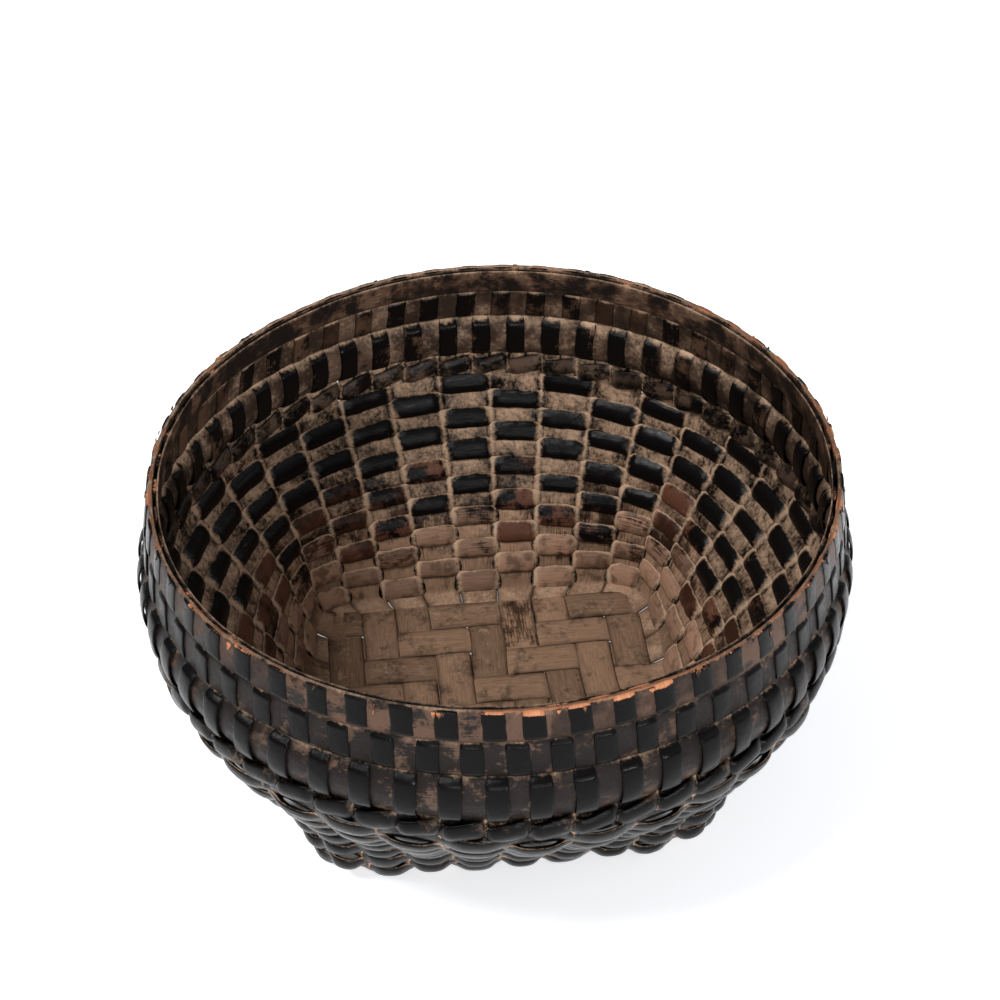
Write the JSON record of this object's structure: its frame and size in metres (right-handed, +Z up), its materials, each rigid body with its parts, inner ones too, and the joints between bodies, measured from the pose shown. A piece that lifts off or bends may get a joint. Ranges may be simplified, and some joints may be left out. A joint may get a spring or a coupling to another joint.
{
  "type": "woven fruit basket",
  "caption": "Old plaited bamboo fruit basket in worn black lacquer: round rim, fat bead below it, sloping wall, rounded-square floor of wide twill-woven strips",
  "frame": {"origin": "centre of the floor's underside, on the plane the basket rests on", "axes": "+Z up out of the bowl; +X and +Y along the floor's two sets of strips"},
  "size_m": [0.3566, 0.3566, 0.1842],
  "materials": {
    "strip_bamboo": "worn black lacquer, bare on the floor",
    "lacquered_weaver": "worn glossy black lacquer",
    "twined_cane": "worn glossy black lacquer",
    "hoop_bamboo": "dusty dark brown lacquer",
    "rim_bamboo": "raw reddish bamboo where worn"
  },
  "bodies": {
    "root": {"length_strip_1": "strip_bamboo", "length_strip_2": "strip_bamboo", "length_strip_3": "strip_bamboo", "length_strip_4": "strip_bamboo", "length_strip_5": "strip_bamboo", "length_strip_6": "strip_bamboo", "length_strip_7": "strip_bamboo", "length_strip_8": "strip_bamboo", "length_strip_9": "strip_bamboo", "cross_strip_1": "strip_bamboo", "cross_strip_2": "strip_bamboo", "cross_strip_3": "strip_bamboo", "cross_strip_4": "strip_bamboo", "cross_strip_5": "strip_bamboo", "cross_strip_6": "strip_bamboo", "cross_strip_7": "strip_bamboo", "cross_strip_8": "strip_bamboo", "cross_strip_9": "strip_bamboo", "weaver_01": "lacquered_weaver", "weaver_02": "lacquered_weaver", "weaver_03": "lacquered_weaver", "weaver_04": "lacquered_weaver", "weaver_05": "lacquered_weaver", "weaver_06": "lacquered_weaver", "weaver_07": "lacquered_weaver", "weaver_08": "lacquered_weaver", "weaver_09": "lacquered_weaver", "weaver_10": "lacquered_weaver", "weaver_11": "lacquered_weaver", "weaver_12": "lacquered_weaver", "weaver_13": "lacquered_weaver", "twined_strand_1": "twined_cane", "twined_strand_2": "twined_cane", "bead_hoop": "hoop_bamboo", "wall_hoop": "hoop_bamboo", "rim_core_hoop": "rim_bamboo", "inner_rim_hoop": "rim_bamboo"}
  },
  "joints": []
}
